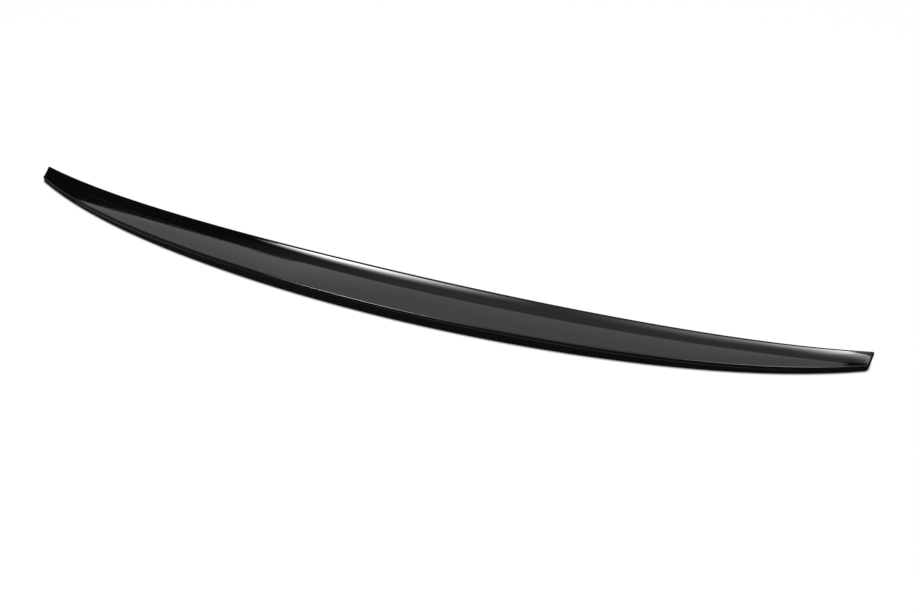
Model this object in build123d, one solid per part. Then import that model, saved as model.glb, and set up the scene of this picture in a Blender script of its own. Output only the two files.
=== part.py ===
from build123d import *
from math import atan2, cos, hypot, pi, radians, sin, tan
import os

os.makedirs("parts", exist_ok=True)

# A boot-lid lip spoiler, moulded in one piece as a thin skin that is open below.
# X runs across the car, Y towards its front and Z up. The foot of the rear wall stands on Z = 0.

# Overall size
SPAN = 1200.0            # from end to end, across the car
WALL = 3.0               # thickness of the moulded skin
END_WALL = 3.0           # thickness of the wall that closes each end

# Plan: every long line lies furthest back at mid-span and sweeps forward to the ends
FOOT_SWEEP = 100.0       # foot of the rear wall: how far its ends lie ahead of its middle
FOOT_TURN = 0.20         # share of that sweep which comes in late, close to the ends
SHELF_DEPTH = 40.5       # level shelf, rear edge to crease, at mid-span
SHELF_DEPTH_END = 3.0    # and at the ends, where the shelf runs out
CREASE_TURN = 0.06       # share of the crease's sweep that comes in late
COVE_DEPTH = 14.6        # crease to front edge at mid-span
COVE_DEPTH_END = 19.0    # and at the ends
COVE_WAIST = 4.7         # how much narrower the cove is between the two

# Heights
REAR_HEIGHT = 19.0       # rear wall and shelf at mid-span
REAR_HEIGHT_END = 8.4    # and at the ends
COVE_RISE = 8.5          # front edge above the shelf at mid-span
COVE_RISE_END = 3.2      # and at the ends

# Section form
REAR_DRAFT = 1.0         # lean of the rear wall, its top ahead of its foot
REAR_EDGE_RADIUS = 1.8   # crisp edge between rear wall and shelf
CREASE_RADIUS = 8.0      # soft hollow between shelf and cove
COVE_START = 0.5         # slope of the cove at the crease, as a share of its mean slope
RIM_RADIUS = 1.5         # rounded front edge
RIM_DROP = 1.0           # how far the rim's front face runs on below the skin, at the end walls
END_DROP = 0.5           # lower front corner of the end walls, as a share of the rim's height there
HEEL_RUN = 3.0           # how far the foot of the end walls reaches ahead of the rear wall
END_ROUND = 3.0          # rounding around each end wall
END_FLARE = 15.0         # angle of each end wall in plan, its front corner further out

# Loft stations
STATIONS = 15            # sections along the skin
ROUND_STATIONS = 5       # sections in the rounding of each end
CLEAR = 25.0             # how far the hollow's cutting bodies reach past the skin

half = SPAN / 2


def sweep(u, turn):
    """Forward sweep of a long line: 0 at mid-span and 1 at the ends."""
    return (1 - turn) * u + turn * u**3


def blend(middle, end, u):
    return middle + (end - middle) * u


def under(point, slope, depth):
    """The point that lies a depth under the skin, square to the skin's slope."""
    return (point[0] + depth * sin(slope), point[1] - depth * cos(slope))


class Section:
    """One cross-section of the spoiler, at a place x across the car.

    Its own axes run forward from the front edge and up from the foot. An inset draws the
    outside in, for the rounding at the ends.
    """

    def __init__(self, x, inset=0.0):
        u = (x / half) ** 2
        crease_sweep = FOOT_SWEEP + SHELF_DEPTH_END - SHELF_DEPTH
        foot = FOOT_SWEEP * sweep(u, FOOT_TURN)
        crease = REAR_DRAFT + SHELF_DEPTH + crease_sweep * sweep(u, CREASE_TURN)
        cove = blend(COVE_DEPTH, COVE_DEPTH_END, u) - 4 * COVE_WAIST * u * (1 - u)
        front = crease + cove

        flare = radians(END_FLARE) * x / half
        forward = (sin(flare), cos(flare), 0)
        along = (cos(flare), -sin(flare), 0)
        self.plane = Plane(origin=(x, front, 0), x_dir=forward, z_dir=along)
        self.foot = (foot - front) / cos(flare) + inset
        self.rear = self.foot + REAR_DRAFT
        self.crease = -cove / cos(flare) + inset
        self.shelf = blend(REAR_HEIGHT, REAR_HEIGHT_END, u) - inset

        # The cove leaves the crease at a slope of its own and steepens to the front edge.
        rise = blend(COVE_RISE, COVE_RISE_END, u)
        mean = atan2(rise, cove)
        self.start = COVE_START * mean
        edge = under((-inset * cos(mean), self.shelf + inset + rise - inset * sin(mean)), mean, inset)
        self.front = edge
        self.bend_from = (self.crease - CREASE_RADIUS * tan(self.start / 2), self.shelf)
        bend_run = CREASE_RADIUS * sin(self.start)
        bend_rise = CREASE_RADIUS * (1 - cos(self.start))
        self.bend_to = (self.bend_from[0] + bend_run, self.shelf + bend_rise)
        run = edge[0] - self.bend_to[0]
        climb = edge[1] - self.bend_to[1]
        chord = atan2(climb, run)
        self.end = 2 * chord - self.start
        self.cove_radius = hypot(run, climb) / (2 * sin(chord - self.start))

    def crease_and_cove(self, depth):
        """The two tangent arcs of the skin's front, at a depth under its outside."""
        a = under(self.bend_from, 0, depth)
        b = under(self.bend_to, self.start, depth)
        c = under(self.front, self.end, depth)
        return RadiusArc(a, b, -CREASE_RADIUS - depth), RadiusArc(b, c, -self.cove_radius - depth)

    def outline(self):
        """Outside of the section, closed below as the end walls are: well under the skin."""
        lean = atan2(REAR_DRAFT, self.shelf)
        reach = REAR_EDGE_RADIUS * tan((pi / 2 - lean) / 2)
        foot = (self.foot, 0)
        heel = (self.foot + WALL + HEEL_RUN, 0)
        wall_top = (self.rear - reach * sin(lean), self.shelf - reach * cos(lean))
        shelf_from = (self.rear + reach, self.shelf)
        out_y = RIM_RADIUS * cos(self.end)
        out_z = RIM_RADIUS * sin(self.end)
        rim_y, rim_z = under(self.front, self.end, RIM_RADIUS)
        hem_y, hem_z = under(self.front, self.end, WALL + RIM_DROP)
        rim = (rim_y + out_y, rim_z + out_z)
        hem = (hem_y + out_y, hem_z + out_z)
        corner = (hem[0], hem[1] * END_DROP)
        crease, cove = self.crease_and_cove(0)
        edges = [
            Line(foot, wall_top),
            RadiusArc(wall_top, shelf_from, REAR_EDGE_RADIUS),
            Line(shelf_from, self.bend_from),
            crease,
            cove,
            RadiusArc(self.front, rim, RIM_RADIUS),
            Line(rim, hem),
            Line(hem, corner),
            Line(corner, heel),
            Line(heel, foot),
        ]
        return self.plane * make_face(edges)

    def below_skin(self):
        """All that lies below the skin's inner face."""
        crease, cove = self.crease_and_cove(WALL)
        tip = cove @ 1
        back = self.foot - CLEAR
        ahead = tip.X + CLEAR * cos(self.end)
        above = tip.Y + CLEAR * sin(self.end)
        lead = Line(tip, (ahead, above))
        rest = Polyline((ahead, above), (ahead, -CLEAR), (back, -CLEAR), (back, self.shelf - WALL), crease @ 0)
        return self.plane * make_face([crease, cove, lead, *rest.edges()])

    def ahead_of_wall(self):
        """All that lies ahead of the rear wall's inner face."""
        lean = REAR_DRAFT / self.shelf
        top = self.shelf + CLEAR
        low = self.foot + WALL - CLEAR * lean
        high = self.foot + WALL + top * lean
        far = 2 * CLEAR
        return self.plane * make_face(Polyline((low, -CLEAR), (high, top), (far, top), (far, -CLEAR), (low, -CLEAR)))


def places(limit):
    return [limit * (2 * i / (STATIONS - 1) - 1) for i in range(STATIONS)]


# Outside: a long loft, and a short one that rounds off each end
straight = half - END_ROUND
turns = [i * pi / 2 / (ROUND_STATIONS - 1) for i in range(ROUND_STATIONS)]
body = loft([Section(x).outline() for x in places(straight)])
for side in (-1, 1):
    body += loft([Section(side * (straight + END_ROUND * sin(t)), END_ROUND * (1 - cos(t))).outline() for t in turns])

# Hollow underside, which leaves the rear wall, the skin and the two end walls
outside = body.volume
inner = [Section(x) for x in places(half - END_WALL)]
body -= loft([s.below_skin() for s in inner]) & loft([s.ahead_of_wall() for s in inner])
if body.volume > 0.8 * outside:
    raise ValueError("the hollow was not cut out of the body")

# The origin is at the middle of the footprint.
spoiler = (Pos(0, -body.bounding_box().center().Y, 0) * body).solid()
spoiler.label = "lip_spoiler"
spoiler.color = Color(0.02, 0.02, 0.022)
export_step(spoiler, "parts/lip_spoiler.step")

box = spoiler.bounding_box()
print("size", [round(v, 2) for v in box.size], "from", [round(v, 2) for v in box.min])
print("volume", round(spoiler.volume / 1000, 1), "cm3, valid", spoiler.is_valid, "faces", len(spoiler.faces()))
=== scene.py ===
# %% [markdown]
# # A gloss-black lip spoiler for a boot lid
# The object is one long crescent of black plastic, moulded in one piece: an upright rear wall, a level
# shelf that is wide in the middle and runs out at the ends, and a hollow cove that rises to a thin front
# rim. The imported CAD model gives the frame: every size and place below is in metres, in that frame, so
# nothing has to be fitted afterwards. We keep the box of the CAD model: its low corner gives the rear foot
# and the floor.

# %% Load the imported model
from math import atan2, cos, hypot, pi, radians, sin, tan

import bmesh
import bpy
from mathutils import Euler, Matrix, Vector


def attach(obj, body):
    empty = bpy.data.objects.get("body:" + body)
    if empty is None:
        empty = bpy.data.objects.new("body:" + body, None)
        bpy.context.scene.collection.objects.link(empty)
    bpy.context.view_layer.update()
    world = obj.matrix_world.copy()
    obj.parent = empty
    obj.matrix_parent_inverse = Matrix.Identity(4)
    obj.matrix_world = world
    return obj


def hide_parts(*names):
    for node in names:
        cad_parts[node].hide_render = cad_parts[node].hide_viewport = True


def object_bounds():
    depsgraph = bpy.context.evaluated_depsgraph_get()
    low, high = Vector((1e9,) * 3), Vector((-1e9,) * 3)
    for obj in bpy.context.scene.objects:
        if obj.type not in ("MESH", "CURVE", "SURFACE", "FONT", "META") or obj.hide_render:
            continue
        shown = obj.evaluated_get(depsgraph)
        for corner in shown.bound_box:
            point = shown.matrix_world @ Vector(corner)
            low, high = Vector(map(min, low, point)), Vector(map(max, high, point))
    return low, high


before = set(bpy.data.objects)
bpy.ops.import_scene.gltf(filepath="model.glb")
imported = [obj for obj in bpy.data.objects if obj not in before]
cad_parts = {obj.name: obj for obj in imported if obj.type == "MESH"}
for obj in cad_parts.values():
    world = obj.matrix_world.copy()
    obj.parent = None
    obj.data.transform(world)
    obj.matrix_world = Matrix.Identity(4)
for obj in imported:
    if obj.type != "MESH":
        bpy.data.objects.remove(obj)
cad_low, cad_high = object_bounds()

MM = 0.001
print("CAD box, mm:", [round(v / MM, 2) for v in (*cad_low, *cad_high)])

# %% [markdown]
# ## The sizes of the section
# A moulded lip keeps one kind of section from end to end and only changes its sizes on the way. So the
# skin is described by a few laws of the place across the car: how far each long line sweeps forward, and
# how high it lies. The share u is 0 at mid-span and 1 at the ends, and every law blends between two sizes:
# the first one is at mid-span, and the one whose name has END is at the ends.

# %% Driving sizes, from the frame and from the CAD model
REARMOST = cad_low.y          # the foot of the rear wall at mid-span
HALF = 600 * MM               # half of the span

FOOT_SWEEP = 100 * MM         # how far the ends of the foot lie ahead of its middle
FOOT_TURN = 0.20              # share of that sweep which comes in late, close to the ends
SHELF_DEPTH, SHELF_DEPTH_END = 40.5 * MM, 3 * MM      # rear edge to crease
CREASE_TURN = 0.06            # share of the crease's sweep that comes in late
COVE_DEPTH, COVE_DEPTH_END = 14.6 * MM, 18.7 * MM     # crease to front edge
COVE_WAIST = 4.3 * MM         # how much narrower the cove is between the two
REAR_HEIGHT, REAR_HEIGHT_END = 19 * MM, 8.4 * MM      # rear wall, and so the shelf
COVE_RISE, COVE_RISE_END = 8.5 * MM, 3.2 * MM         # front edge above the shelf
COVE_START = 0.5              # slope where the cove leaves the shelf, as a share of its mean slope
CREASE_RADIUS = 8 * MM        # soft hollow between shelf and cove
REAR_DRAFT = 1 * MM           # lean of the rear wall's inside
REAR_LEAN = 1.2 * MM          # how far the rear edge lies ahead of the foot
LOWER_LEAN = 0.3 * MM         # and the foot of the fine step in the rear wall
STEP_AT, STEP_AT_END = 0.80, 0.52    # height of that step, as a share of the wall's height
STEP_RISE, STEP_IN = 0.06, 0.046     # how far it goes up and in, as shares of the same height
WALL = 3 * MM                 # thickness of the skin
RIM = 1.75 * MM               # how far the rim stands ahead of the cove
END_DROP = 0.5                # lower front corner of the end walls, as a share of the rim's height
END_ROUND = 3 * MM            # rounding round each end wall
END_FLARE = radians(15)       # turn of the end walls in plan, their front corners further out


def sweep(u, turn):
    """Forward sweep of a long line: 0 at mid-span, 1 at the ends."""
    return (1 - turn) * u + turn * u**3


def blend(middle, end, u):
    """A size that goes from one value to another as u goes from 0 to 1."""
    return middle + (end - middle) * u


print("span, mm:", round(2 * HALF / MM))

# %% [markdown]
# ## One section of the skin
# The section is a thin C: up the rear wall, along the shelf, up the cove, round the rim and back along
# the inside. High up on the rear wall, a fine step takes it in by less than a millimetre; it draws the
# second thin line of light under the rear edge, and it comes down towards the ends. The section has few
# points, because the rounded edges come later from the bevel operator. Only the cove is a true arc from the
# start: it leaves the shelf at a shallow slope and steepens towards the rim.

# %% The sizes at one place
def skin_laws(x, inset):
    """Sizes of the section at a place x, in the section's own axes: forward from the front edge, and up.

    An inset draws the outside in, for the rounding at the ends.
    """
    u = (x / HALF) ** 2
    crease_sweep = FOOT_SWEEP + SHELF_DEPTH_END - SHELF_DEPTH
    foot = FOOT_SWEEP * sweep(u, FOOT_TURN)
    crease = REAR_DRAFT + SHELF_DEPTH + crease_sweep * sweep(u, CREASE_TURN)
    cove = blend(COVE_DEPTH, COVE_DEPTH_END, u) - 4 * COVE_WAIST * u * (1 - u)
    front = crease + cove
    flare = END_FLARE * x / HALF
    shelf = blend(REAR_HEIGHT, REAR_HEIGHT_END, u) - inset
    rise = blend(COVE_RISE, COVE_RISE_END, u)
    mean = atan2(rise, cove)
    start = COVE_START * mean
    crease_at = -cove / cos(flare) + inset
    edge_run = inset * (sin(mean) - cos(mean))
    edge_rise = shelf + inset + rise - inset * (sin(mean) + cos(mean))
    arc_run = crease_at + CREASE_RADIUS * (sin(start) - tan(start / 2))
    arc_rise = shelf + CREASE_RADIUS * (1 - cos(start))
    chord = atan2(edge_rise - arc_rise, edge_run - arc_run)
    radius = hypot(edge_run - arc_run, edge_rise - arc_rise) / (2 * sin(chord - start))
    return {
        "flare": flare, "front": front, "foot": (foot - front) / cos(flare) + inset, "shelf": shelf,
        "crease": crease_at, "arc": (arc_run, arc_rise), "start": start, "end": 2 * chord - start,
        "radius": radius, "step": shelf * blend(STEP_AT, STEP_AT_END, u),
    }


print("shelf height at the ends, mm:", round(skin_laws(HALF, 0)["shelf"] / MM, 1))

# %% The points of a section
COVE_ROWS = 14


def under(point, slope, depth):
    """The point that lies a depth under the skin, square to its slope."""
    return (point[0] + depth * sin(slope), point[1] - depth * cos(slope))


def cove_point(law, slope):
    """The point of the cove's arc where it has the given slope."""
    run = law["arc"][0] + law["radius"] * (sin(slope) - sin(law["start"]))
    rise = law["arc"][1] + law["radius"] * (cos(law["start"]) - cos(slope))
    return (run, rise)


def section(x, inset=0.0):
    """The named points round the section at x, as places in the frame."""
    law = skin_laws(x, inset)
    foot, shelf = law["foot"], law["shelf"]
    half_step = shelf * STEP_RISE / 2
    points = {
        "heel": (foot + WALL, 0),
        "foot": (foot, 0),
        "step foot": (foot + LOWER_LEAN, law["step"] - half_step),
        "step top": (foot + LOWER_LEAN + STEP_IN * shelf, law["step"] + half_step),
        "rear edge": (foot + REAR_LEAN, shelf),
        "crease": (law["crease"], shelf),
    }
    inside = {}
    for row in range(1, COVE_ROWS):
        slope = blend(law["start"], law["end"], row / COVE_ROWS)
        points[f"cove {row}"] = cove_point(law, slope)
        inside[f"inner cove {row}"] = under(cove_point(law, slope), slope, WALL)
    front = cove_point(law, law["end"])
    points["lip"] = (front[0] + RIM * cos(law["end"]), front[1] + RIM * sin(law["end"]))
    points["toe"] = under(points["lip"], law["end"], WALL)
    for name in reversed(inside):
        points[name] = inside[name]
    lean = REAR_DRAFT / shelf
    points["inner crease"] = (law["crease"] + WALL * tan(law["start"] / 2), shelf - WALL)
    points["inner corner"] = (foot + WALL + (shelf - WALL) * lean, shelf - WALL)
    forward = Vector((sin(law["flare"]), cos(law["flare"]), 0))
    origin = Vector((x, REARMOST + law["front"], 0))
    return {name: origin + forward * run + Vector((0, 0, rise)) for name, (run, rise) in points.items()}


middle = section(0)
names = list(middle)
toe_at = names.index("toe")
print("points round a section:", len(names))

# %% [markdown]
# ## Growing the skin along the bow
# On the real tool the section is swept along the bow of the boot lid. Here the chain of points is
# extruded station by station, and each new ring is set on the section of its place. The long edge that each
# point draws gets a tag, so that the bevels can find the line again after the half is mirrored.

# %% Extrude half of the skin
STATIONS = 96
SATIN = 1                     # material slot of the plain inside; the polished outside keeps slot 0

skin_mesh = bmesh.new()
line_tag = skin_mesh.edges.layers.int.new("line")


def ring_edges(mesh, ring):
    """The edges between neighbours on a closed ring of vertices."""
    return [mesh.edges.get(pair) for pair in zip(ring, ring[1:] + ring[:1])]


def grow(mesh, ring, places, tagged):
    """Extrudes a closed ring of vertices, sets the new ring on the places and tags the first long edges.

    On a whole section, the faces from the toe onwards are the inside and get the plain finish.
    """
    edges = ring_edges(mesh, ring)
    made = bmesh.ops.extrude_edge_only(mesh, edges=edges)["geom"]
    new = {item for item in made if isinstance(item, bmesh.types.BMVert)}
    if len(ring) == len(names):
        for edge in edges[toe_at:]:
            for face in edge.link_faces:
                face.material_index = SATIN
    grown = []
    for number, (vert, place) in enumerate(zip(ring, places)):
        edge = next(e for e in vert.link_edges if e.other_vert(vert) in new)
        if number < tagged:
            edge[line_tag] = number + 1
        twin = edge.other_vert(vert)
        twin.co = place
        grown.append(twin)
    return grown


ring = [skin_mesh.verts.new(middle[name]) for name in names]
for pair in zip(ring, ring[1:] + ring[:1]):
    skin_mesh.edges.new(pair)
for station in range(1, STATIONS + 1):
    ring = grow(skin_mesh, ring, section((HALF - END_ROUND) * station / STATIONS).values(), len(names))
print("faces in half of the skin:", len(skin_mesh.faces))

# %% [markdown]
# ## Closing the end
# The hollow stops three millimetres short of the end, so that a wall closes it. The wall hangs down from
# the rim to half of the rim's height and runs back from there to the foot. The inner ring is filled, and
# the outer ring goes on through a quarter circle, drawing in as it goes, which rounds the end. The last ring
# is filled as the flat of the end wall.

# %% Fill the hollow's end, round the outside and cap it
ROUND_STEPS = 7


def end_corner(x, inset=0.0):
    """The lower front corner of the end wall, below the rim."""
    toe = section(x, inset)["toe"]
    return Vector((toe.x, toe.y, toe.z * END_DROP))


corner = skin_mesh.verts.new(end_corner(HALF - END_ROUND))
skin_mesh.edges.new((ring[toe_at], corner))
skin_mesh.edges.new((corner, ring[0]))
inner_ring = ring[toe_at:] + [ring[0], corner]
ring = ring[:toe_at + 1] + [corner]
bmesh.ops.edgeloop_fill(skin_mesh, edges=ring_edges(skin_mesh, inner_ring), mat_nr=SATIN)
for step in range(1, ROUND_STEPS + 1):
    turn = pi / 2 * step / ROUND_STEPS
    x, inset = HALF - END_ROUND * (1 - sin(turn)), END_ROUND * (1 - cos(turn))
    places = list(section(x, inset).values())[:toe_at + 1] + [end_corner(x, inset)]
    ring = grow(skin_mesh, ring, places, toe_at)
bmesh.ops.edgeloop_fill(skin_mesh, edges=ring_edges(skin_mesh, ring))
print("open edges left, all at mid-span:", sum(e.is_boundary for e in skin_mesh.edges))

# %% [markdown]
# ## Mirroring the half
# The left and right halves of the spoiler mirror each other. The mirrored copy is merged along mid-span,
# and then the faces are turned outwards, because a mirrored mesh comes out inside out.

# %% Mirror and merge
MERGE = 0.001 * MM

everything = skin_mesh.verts[:] + skin_mesh.edges[:] + skin_mesh.faces[:]
bmesh.ops.mirror(skin_mesh, geom=everything, axis="X", merge_dist=MERGE)
bmesh.ops.remove_doubles(skin_mesh, verts=skin_mesh.verts[:], dist=MERGE)
bmesh.ops.recalc_face_normals(skin_mesh, faces=skin_mesh.faces[:])
print("open edges after the mirror:", sum(not e.is_manifold for e in skin_mesh.edges))

# %% [markdown]
# ## Rounding the long edges
# No moulded edge is knife sharp. The rear edge is crisp, with a radius of a millimetre and a half, the
# crease between shelf and cove is a soft hollow, and the front rim is rounded over. Each line gets its own
# bevel, with a round profile, because one width for all would blur the crisp edge or harden the soft one.
# Where a bevel runs out on an end wall it leaves points on top of each other, and these are merged.

# %% Bevel each line by its own width
BEVELS = {                    # width and number of segments
    "rear edge": (1.5 * MM, 8),
    "step foot": (0.15 * MM, 2),
    "step top": (0.15 * MM, 2),
    "crease": (1.1 * MM, 6),
    "lip": (2.4 * MM, 10),
    "toe": (0.4 * MM, 2),
    "foot": (0.4 * MM, 2),
    "inner corner": (0.3 * MM, 3),
}

for name, (width, segments) in BEVELS.items():
    wanted = names.index(name) + 1
    edges = [e for e in skin_mesh.edges if e[line_tag] == wanted]
    bmesh.ops.bevel(
        skin_mesh, geom=edges, offset=width, offset_type="OFFSET", segments=segments, profile=0.5,
        affect="EDGES", material=-1,
    )
bmesh.ops.remove_doubles(skin_mesh, verts=skin_mesh.verts[:], dist=MERGE)
print("faces with rounded edges:", len(skin_mesh.faces))

# %% [markdown]
# ## One piece for one moulding
# The mesh becomes an object that stands for the CAD node. Everything is shaded smooth, apart from the few
# edges below the end walls that stay sharp. Weighted normals let the broad faces rule the shading, so that
# the level shelf mirrors like a flat plate right up to its rounded edges.

# %% Make the piece
SHARP = radians(40)

for edge in skin_mesh.edges:
    edge.smooth = edge.calc_face_angle(0) < SHARP
for face in skin_mesh.faces:
    face.smooth = True
skin_mesh.edges.layers.int.remove(line_tag)
lip_mesh = bpy.data.meshes.new("lip_skin")
skin_mesh.to_mesh(lip_mesh)
skin_mesh.free()
lip_skin = bpy.data.objects.new("lip_skin", lip_mesh)
bpy.context.collection.objects.link(lip_skin)
even_shading = lip_skin.modifiers.new("even_shading", "WEIGHTED_NORMAL")
even_shading.keep_sharp = True

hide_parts("lip_spoiler")
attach(lip_skin, "root")
print("piece:", lip_skin.name, "with", len(lip_mesh.polygons), "faces")

# %% [markdown]
# ## What every moulded surface has
# Even a polished tool leaves slow waves where the plastic shrank, a fine peel in the lacquer and small
# differences from patch to patch. Both finishes below use them at their own strength, so they are one node
# group. The waves run along the part, because the plastic flowed that way.

# %% A node group for moulded surfaces
WAVES_PER_METRE = (7, 45, 45)
PATCHES_PER_METRE = 22


def add(tree, kind, **settings):
    """A new node with some of its settings."""
    node = tree.nodes.new(kind)
    for key, value in settings.items():
        setattr(node, key, value)
    return node


def moulded_surface_group():
    """Slow waves, a fine grain and uneven patches, each a value between 0 and 1."""
    group = bpy.data.node_groups.new("moulded_surface", "ShaderNodeTree")
    face = group.interface
    face.new_socket("Grain Scale", in_out="INPUT", socket_type="NodeSocketFloat")
    for name in ("Waves", "Grain", "Patches"):
        face.new_socket(name, in_out="OUTPUT", socket_type="NodeSocketFloat")
    entry, result = add(group, "NodeGroupInput"), add(group, "NodeGroupOutput")
    place = add(group, "ShaderNodeTexCoord")
    stretch = add(group, "ShaderNodeMapping")
    stretch.inputs["Scale"].default_value = WAVES_PER_METRE
    waves = add(group, "ShaderNodeTexNoise")
    waves.inputs["Scale"].default_value = 1
    waves.inputs["Detail"].default_value = 1
    grain = add(group, "ShaderNodeTexNoise")
    grain.inputs["Detail"].default_value = 2
    patches = add(group, "ShaderNodeTexNoise")
    patches.inputs["Scale"].default_value = PATCHES_PER_METRE
    patches.inputs["Detail"].default_value = 3
    link = group.links.new
    link(place.outputs["Object"], stretch.inputs["Vector"])
    link(stretch.outputs["Vector"], waves.inputs["Vector"])
    link(place.outputs["Object"], grain.inputs["Vector"])
    link(entry.outputs["Grain Scale"], grain.inputs["Scale"])
    link(place.outputs["Object"], patches.inputs["Vector"])
    for node, name in ((waves, "Waves"), (grain, "Grain"), (patches, "Patches")):
        link(node.outputs["Fac"], result.inputs[name])
    return group


moulded_surface = moulded_surface_group()
print("node group:", moulded_surface.name)

# %% [markdown]
# ## Two finishes of one plastic
# Outside, the part is piano black: so dark that nearly all we see is what it mirrors. Its colour is almost
# nothing, its roughness is low, and the bump is a few hundredths of a millimetre. How much it mirrors is
# set by the index of refraction, which is 1.58 for a hard clear plastic. Inside, the tool was never
# polished, so the same plastic is satin, a little greyer, with a fine grain.

# %% Make both finishes
PLASTIC_IOR = 1.58


def moulded_plastic(name, dark, light, smooth, rough, grain_scale, wave_height, grain_height):
    """A black plastic: colours and roughness vary between two values, waves and grain bump it."""
    finish = bpy.data.materials.new(name)
    finish.use_nodes = True
    tree = finish.node_tree
    shader = tree.nodes["Principled BSDF"]
    shader.inputs["IOR"].default_value = PLASTIC_IOR
    surface = add(tree, "ShaderNodeGroup", node_tree=moulded_surface)
    surface.inputs["Grain Scale"].default_value = grain_scale
    colour = add(tree, "ShaderNodeMapRange", data_type="FLOAT_VECTOR")
    colour.inputs["To Min"].default_value = dark
    colour.inputs["To Max"].default_value = light
    gloss = add(tree, "ShaderNodeMapRange")
    gloss.inputs["To Min"].default_value = smooth
    gloss.inputs["To Max"].default_value = rough
    wave_bump = add(tree, "ShaderNodeBump")
    wave_bump.inputs["Distance"].default_value = wave_height
    grain_bump = add(tree, "ShaderNodeBump")
    grain_bump.inputs["Distance"].default_value = grain_height
    link = tree.links.new
    link(surface.outputs["Patches"], colour.inputs["Vector"])
    link(surface.outputs["Patches"], gloss.inputs["Value"])
    link(surface.outputs["Waves"], wave_bump.inputs["Height"])
    link(surface.outputs["Grain"], grain_bump.inputs["Height"])
    link(wave_bump.outputs["Normal"], grain_bump.inputs["Normal"])
    link(colour.outputs["Vector"], shader.inputs["Base Color"])
    link(gloss.outputs["Result"], shader.inputs["Roughness"])
    link(grain_bump.outputs["Normal"], shader.inputs["Normal"])
    return finish


piano_black = moulded_plastic(
    "piano_black", dark=(0.0012, 0.0012, 0.0013), light=(0.0026, 0.0026, 0.0028),
    smooth=0.015, rough=0.04, grain_scale=420, wave_height=0.02 * MM, grain_height=0.0005 * MM,
)
satin_black = moulded_plastic(
    "satin_black", dark=(0.0070, 0.0070, 0.0072), light=(0.0110, 0.0110, 0.0115),
    smooth=0.38, rough=0.55, grain_scale=1500, wave_height=0.05 * MM, grain_height=0.02 * MM,
)
lip_mesh.materials.append(piano_black)
lip_mesh.materials.append(satin_black)
print("finishes:", [m.name for m in lip_mesh.materials])

# %% [markdown]
# ## The camera
# The photograph looks down on the rear of the part from its right. The focal length in pixels and the two
# angles come from fitting the four long lines of the part to the photograph, which is 920 pixels wide.

# %% Place the camera
LENS_PIXELS = 750
IMAGE_WIDTH = 920
SENSOR = 36                   # millimetres
CAMERA_AZIMUTH = radians(18.30)
CAMERA_ELEVATION = radians(46.37)
CAMERA_DISTANCE = 0.9717
AIM = Vector((0.0976, -0.0137, 0))    # the place on the floor in the middle of the picture


def direction(azimuth, elevation):
    """Unit vector from the part towards a place, with azimuth 0 straight behind the part."""
    flat = cos(elevation)
    return Vector((sin(azimuth) * flat, -cos(azimuth) * flat, sin(elevation)))


camera_data = bpy.data.cameras.new("camera")
camera_data.sensor_width = SENSOR
camera_data.lens = LENS_PIXELS / IMAGE_WIDTH * SENSOR
camera = bpy.data.objects.new("camera", camera_data)
camera.location = AIM + CAMERA_DISTANCE * direction(CAMERA_AZIMUTH, CAMERA_ELEVATION)
camera.rotation_euler = Euler((pi / 2 - CAMERA_ELEVATION, 0, CAMERA_AZIMUTH))
bpy.context.collection.objects.link(camera)
bpy.context.scene.camera = camera
print("lens, mm:", round(camera_data.lens, 2))

# %% [markdown]
# ## The floor
# The part lies on a plain floor that looks white. A mirror-black part would mirror a white floor as a grey
# rear wall, and the photograph shows a black one, so the floor is really a dark table. Light Path adds
# white for the camera alone, a little less than full white, and the table's own light fills it up. Where
# the part shades the table, that light is missing, so the floor keeps the shadow. Right at the foot the
# shadow is darker. A glow casts none of its own, so an Ambient Occlusion node takes the white back in the
# last few millimetres.

# %% Lay the floor
FLOOR_SIZE = 6.0
FLOOR_DROP = 0.1 * MM         # a hair under the foot, so that the two faces never fight


def stage_plane(name, half_width, half_depth):
    """A flat sheet round its own origin, marked as part of the stage."""
    sheet = bmesh.new()
    bmesh.ops.create_grid(sheet, x_segments=1, y_segments=1, size=1)
    bmesh.ops.scale(sheet, vec=(half_width, half_depth, 1), verts=sheet.verts)
    mesh = bpy.data.meshes.new(name)
    sheet.to_mesh(mesh)
    sheet.free()
    plane = bpy.data.objects.new(name, mesh)
    bpy.context.collection.objects.link(plane)
    return plane


floor = stage_plane("floor", FLOOR_SIZE, FLOOR_SIZE)
floor.location.z = cad_low.z - FLOOR_DROP
print("floor at", round(floor.location.z / MM, 2), "mm")

# %% Paint the floor
TABLE_GREY = (0.05, 0.05, 0.05, 1)
CAMERA_WHITE = 0.97
CONTACT_REACH = 3.2 * MM      # how far the dark at the foot reaches
CONTACT_DEPTH = 2.5           # power that deepens it


def empty_material(name):
    """A material with only its output node."""
    material = bpy.data.materials.new(name)
    material.use_nodes = True
    material.node_tree.nodes.clear()
    return material, add(material.node_tree, "ShaderNodeOutputMaterial")


floor_finish, floor_out = empty_material("white_floor")
tree = floor_finish.node_tree
table = add(tree, "ShaderNodeBsdfDiffuse")
table.inputs["Color"].default_value = TABLE_GREY
white = add(tree, "ShaderNodeEmission")
to_camera = add(tree, "ShaderNodeLightPath")
open_sky = add(tree, "ShaderNodeAmbientOcclusion")
open_sky.inputs["Distance"].default_value = CONTACT_REACH
contact = add(tree, "ShaderNodeMath", operation="POWER")
contact.inputs[1].default_value = CONTACT_DEPTH
brightness = add(tree, "ShaderNodeMath", operation="MULTIPLY")
level = add(tree, "ShaderNodeMath", operation="MULTIPLY")
level.inputs[1].default_value = CAMERA_WHITE
both = add(tree, "ShaderNodeAddShader")
tree.links.new(open_sky.outputs["AO"], contact.inputs[0])
tree.links.new(to_camera.outputs["Is Camera Ray"], brightness.inputs[0])
tree.links.new(contact.outputs["Value"], brightness.inputs[1])
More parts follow.
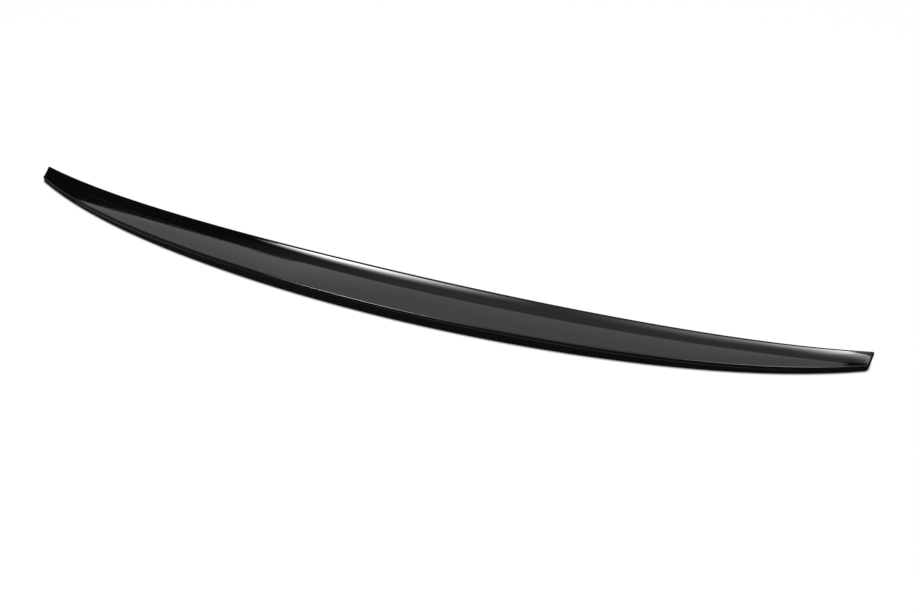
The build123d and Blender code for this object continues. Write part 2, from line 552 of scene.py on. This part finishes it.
tree.links.new(brightness.outputs["Value"], level.inputs[0])
tree.links.new(level.outputs["Value"], white.inputs["Strength"])
tree.links.new(table.outputs["BSDF"], both.inputs[0])
tree.links.new(white.outputs["Emission"], both.inputs[1])
tree.links.new(both.outputs["Shader"], floor_out.inputs["Surface"])
floor.data.materials.append(floor_finish)
print("floor finish:", floor_finish.name)

# %% [markdown]
# ## The room
# Beyond the floor the camera sees plain white. The part itself stands in a dark room, so that its left end
# and its rear wall stay black, as they are in the photograph. Only low on the left the room glows a
# little, which draws the thin lines along the rear wall near the left end.

# %% Paint the room
ROOM_DARK = (0.016, 0.016, 0.016, 1)
LOW_GLOW = (1.12, 1.12, 1.12, 1)
SEEN_WHITE = (1, 1, 1, 1)
GLOW_TOP, GLOW_BOTTOM = 0.45, 0.03    # heights on the unit sphere where the glow has faded and is full
GLOW_EDGE, GLOW_LEFT = -0.3, -0.95    # and the places from the middle to the left

room = bpy.data.worlds.new("dark_room")
bpy.context.scene.world = room
room.use_nodes = True
tree = room.node_tree
sky = tree.nodes["Background"]
place = add(tree, "ShaderNodeTexCoord")
axes = add(tree, "ShaderNodeSeparateXYZ")
low_down = add(tree, "ShaderNodeMapRange", interpolation_type="SMOOTHSTEP")
low_down.inputs["From Min"].default_value = GLOW_TOP
low_down.inputs["From Max"].default_value = GLOW_BOTTOM
to_left = add(tree, "ShaderNodeMapRange", interpolation_type="SMOOTHSTEP")
to_left.inputs["From Min"].default_value = GLOW_EDGE
to_left.inputs["From Max"].default_value = GLOW_LEFT
glow = add(tree, "ShaderNodeMath", operation="MULTIPLY")
dim = add(tree, "ShaderNodeMix", data_type="RGBA")
dim.inputs["A"].default_value = ROOM_DARK
dim.inputs["B"].default_value = LOW_GLOW
to_camera = add(tree, "ShaderNodeLightPath")
seen = add(tree, "ShaderNodeMix", data_type="RGBA")
seen.inputs["B"].default_value = SEEN_WHITE
tree.links.new(place.outputs["Generated"], axes.inputs["Vector"])
tree.links.new(axes.outputs["Z"], low_down.inputs["Value"])
tree.links.new(axes.outputs["X"], to_left.inputs["Value"])
tree.links.new(low_down.outputs["Result"], glow.inputs[0])
tree.links.new(to_left.outputs["Result"], glow.inputs[1])
tree.links.new(glow.outputs["Value"], dim.inputs["Factor"])
tree.links.new(dim.outputs["Result"], seen.inputs["A"])
tree.links.new(to_camera.outputs["Is Camera Ray"], seen.inputs["Factor"])
tree.links.new(seen.outputs["Result"], sky.inputs["Color"])
print("room:", room.name)

# %% [markdown]
# ## A sheet of soft light
# A mirror-black part is lit by what stands round it, so its streaks are pictures of the lamps. Lamps would
# do for a matt part, but here the soft edge of each light shows. So the lights are sheets, as the scrims of
# a product studio are: each is brightest at its bottom edge and fades to nothing at its sides and its top.
# The sheets let light through, so none hides another, and the camera does not see them.

# %% Make a glow with soft edges
def times(tree, first, second, operation="MULTIPLY"):
    """The product of two values, or what another operation makes of them."""
    node = add(tree, "ShaderNodeMath", operation=operation)
    for value, socket in zip((first, second), node.inputs):
        if isinstance(value, (int, float)):
            socket.default_value = value
        else:
            tree.links.new(value, socket)
    return node.outputs["Value"]


def glow_material(name, strength, ramps, see_through, coordinates="Object"):
    """Light times smooth ramps.

    A ramp has its axis, the place and level of its low end, the place where it is full, and a power.
    """
    finish, out = empty_material(name)
    tree = finish.node_tree
    place = add(tree, "ShaderNodeTexCoord")
    axes = add(tree, "ShaderNodeSeparateXYZ")
    tree.links.new(place.outputs[coordinates], axes.inputs["Vector"])
    level = strength
    for axis, low_at, low_level, high_at, power in ramps:
        ramp = add(tree, "ShaderNodeMapRange", interpolation_type="SMOOTHSTEP")
        ramp.inputs["From Min"].default_value = low_at
        ramp.inputs["From Max"].default_value = high_at
        ramp.inputs["To Min"].default_value = low_level
        tree.links.new(axes.outputs[axis], ramp.inputs["Value"])
        level = times(tree, level, times(tree, ramp.outputs["Result"], power, "POWER"))
    light = add(tree, "ShaderNodeEmission")
    tree.links.new(level, light.inputs["Strength"])
    surface = light.outputs["Emission"]
    if see_through:
        clear = add(tree, "ShaderNodeBsdfTransparent")
        both = add(tree, "ShaderNodeAddShader")
        tree.links.new(surface, both.inputs[0])
        tree.links.new(clear.outputs["BSDF"], both.inputs[1])
        surface = both.outputs["Shader"]
    tree.links.new(surface, out.inputs["Surface"])
    return finish


# %% Make a scrim
LIGHT_DISTANCE = 1.8
STUDIO = Vector((0, REARMOST, 0))    # the lights stand round the middle of the rear foot


def scrim(name, azimuth, elevation, left, right, bottom, top, fades, strength, power=4):
    """A sheet that faces the part, fading out over a length at its left, its right and its top."""
    sheet = stage_plane(name, (right - left) / 2, (top - bottom) / 2)
    for vert in sheet.data.vertices:
        vert.co += Vector(((left + right) / 2, (bottom + top) / 2, 0))
    towards = direction(radians(azimuth), radians(elevation))
    sheet.location = STUDIO + LIGHT_DISTANCE * towards
    sheet.rotation_euler = (-towards).to_track_quat("-Z", "Y").to_euler()
    sheet.visible_camera = False
    ramps = [
        ("X", left, 0, left + fades[0], 1),
        ("X", right, 0, right - fades[1], 1),
        ("Y", top, 0, top - fades[2], power),
    ]
    sheet.data.materials.append(glow_material(name, strength, ramps, see_through=True))
    return sheet


# %% [markdown]
# ## Five scrims round the part
# The scrim behind the camera's left shoulder draws the white streak under the rim, and the one on the
# right lights the right end. A weak one between them carries the streak on from one to the other, and a
# small weak one further round lights the cove right in the corner. A faint one low behind the camera shows
# in the fine step of the rear wall. Each is set by the direction that it stands in, in degrees, and by its
# edges, in metres on the sheet, because an edge of a scrim is where a streak ends. The strengths are high,
# because the plastic mirrors only about a twentieth of the light that meets it head-on.

# %% Hang the scrims
scrims = [
    scrim("left_scrim", azimuth=-30, elevation=35, left=-0.59, right=0.95, bottom=0.02, top=1.87,
          fades=(0.60, 1.64, 2.36), strength=104),
    scrim("right_scrim", azimuth=85, elevation=50, left=-1.42, right=0.92, bottom=-0.115, top=0.31,
          fades=(0.50, 0.55, 0.68), strength=62, power=3.4),
    scrim("weak_scrim", azimuth=50, elevation=45, left=-1.13, right=1.25, bottom=0.0, top=1.55,
          fades=(2.50, 0.80, 2.29), strength=20),
    scrim("corner_scrim", azimuth=85, elevation=50, left=0.55, right=1.45, bottom=-0.15, top=0.03,
          fades=(0.30, 0.30, 0.12), strength=2.1, power=1),
    scrim("low_scrim", azimuth=10, elevation=20, left=-1.6, right=3.2, bottom=-0.25, top=0.30,
          fades=(1.20, 1.40, 0.10), strength=0.3, power=1),
]
print("scrims:", [sheet.name for sheet in scrims])

# %% [markdown]
# ## A ceiling for the cove
# A plain sheet overhead greys the cove evenly. It fades out towards the left, so the cove is black at its
# left end, as in the photograph.

# %% Hang the ceiling
CEILING_HALF = (1.8, 1.75)
CEILING_PLACE = Vector((0.3, -0.45, 1.6))
CEILING_FADE = ("X", -1.81, 0, -0.51, 1)      # from nothing at the left to full
CEILING_LIGHT = 0.42

ceiling = stage_plane("ceiling", *CEILING_HALF)
ceiling.location = STUDIO + CEILING_PLACE
ceiling.visible_camera = False
ceiling.data.materials.append(glow_material("ceiling", CEILING_LIGHT, [CEILING_FADE], see_through=True))
print("ceiling, m above the floor:", round(ceiling.location.z, 2))

# %% [markdown]
# ## A strip for the shelf
# The level shelf is a flat mirror, so it shows only one band of the room, high up in front of the part. A
# long strip hangs there and gives the shelf its even grey. Where the strip ends, the grey ends, so its two
# long edges are bent to end it short of the shelf's tips. The ramps on its UV map dim its near edge and
# its right end.

# %% Hang the strip
STRIP_HEIGHT = 1.5
STRIP_X = (-2.46, -1.15, 0.0, 1.25)           # places across the car
STRIP_FAR = (1.540, 1.413, 1.50, 1.596)       # the far edge there, ahead of the rear foot
STRIP_NEAR = (1.50, 1.22, 1.22, 1.50)         # and the near edge
STRIP_RAMPS = [("Y", 0.3, 0.67, 1, 1), ("X", 1, 0.2, 0.99, 1)]    # dimmer near edge and right end
STRIP_LIGHT = 1.3

strip_mesh = bmesh.new()
strip_mesh.loops.layers.uv.new("UVMap")
panels = len(STRIP_X) - 1
bmesh.ops.create_grid(strip_mesh, x_segments=panels, y_segments=1, size=1, calc_uvs=True)
for vert in strip_mesh.verts:
    column = round((vert.co.x + 1) / 2 * panels)
    depth = (STRIP_FAR if vert.co.y > 0 else STRIP_NEAR)[column]
    vert.co = STUDIO + Vector((STRIP_X[column], depth, STRIP_HEIGHT))
mesh = bpy.data.meshes.new("strip")
strip_mesh.to_mesh(mesh)
strip_mesh.free()
strip = bpy.data.objects.new("strip", mesh)
bpy.context.collection.objects.link(strip)
strip.visible_camera = False
strip_glow = glow_material("strip", STRIP_LIGHT, STRIP_RAMPS, see_through=False, coordinates="UV")
strip.data.materials.append(strip_glow)
print("strip, m long:", round(STRIP_X[-1] - STRIP_X[0], 2))

# %% [markdown]
# ## Plain colours
# The Standard view shows each colour as it is written, with no film curve over it, so black stays black
# and the floor stays white.

# %% Set the view
bpy.context.scene.view_settings.view_transform = "Standard"
print("view:", bpy.context.scene.view_settings.view_transform)
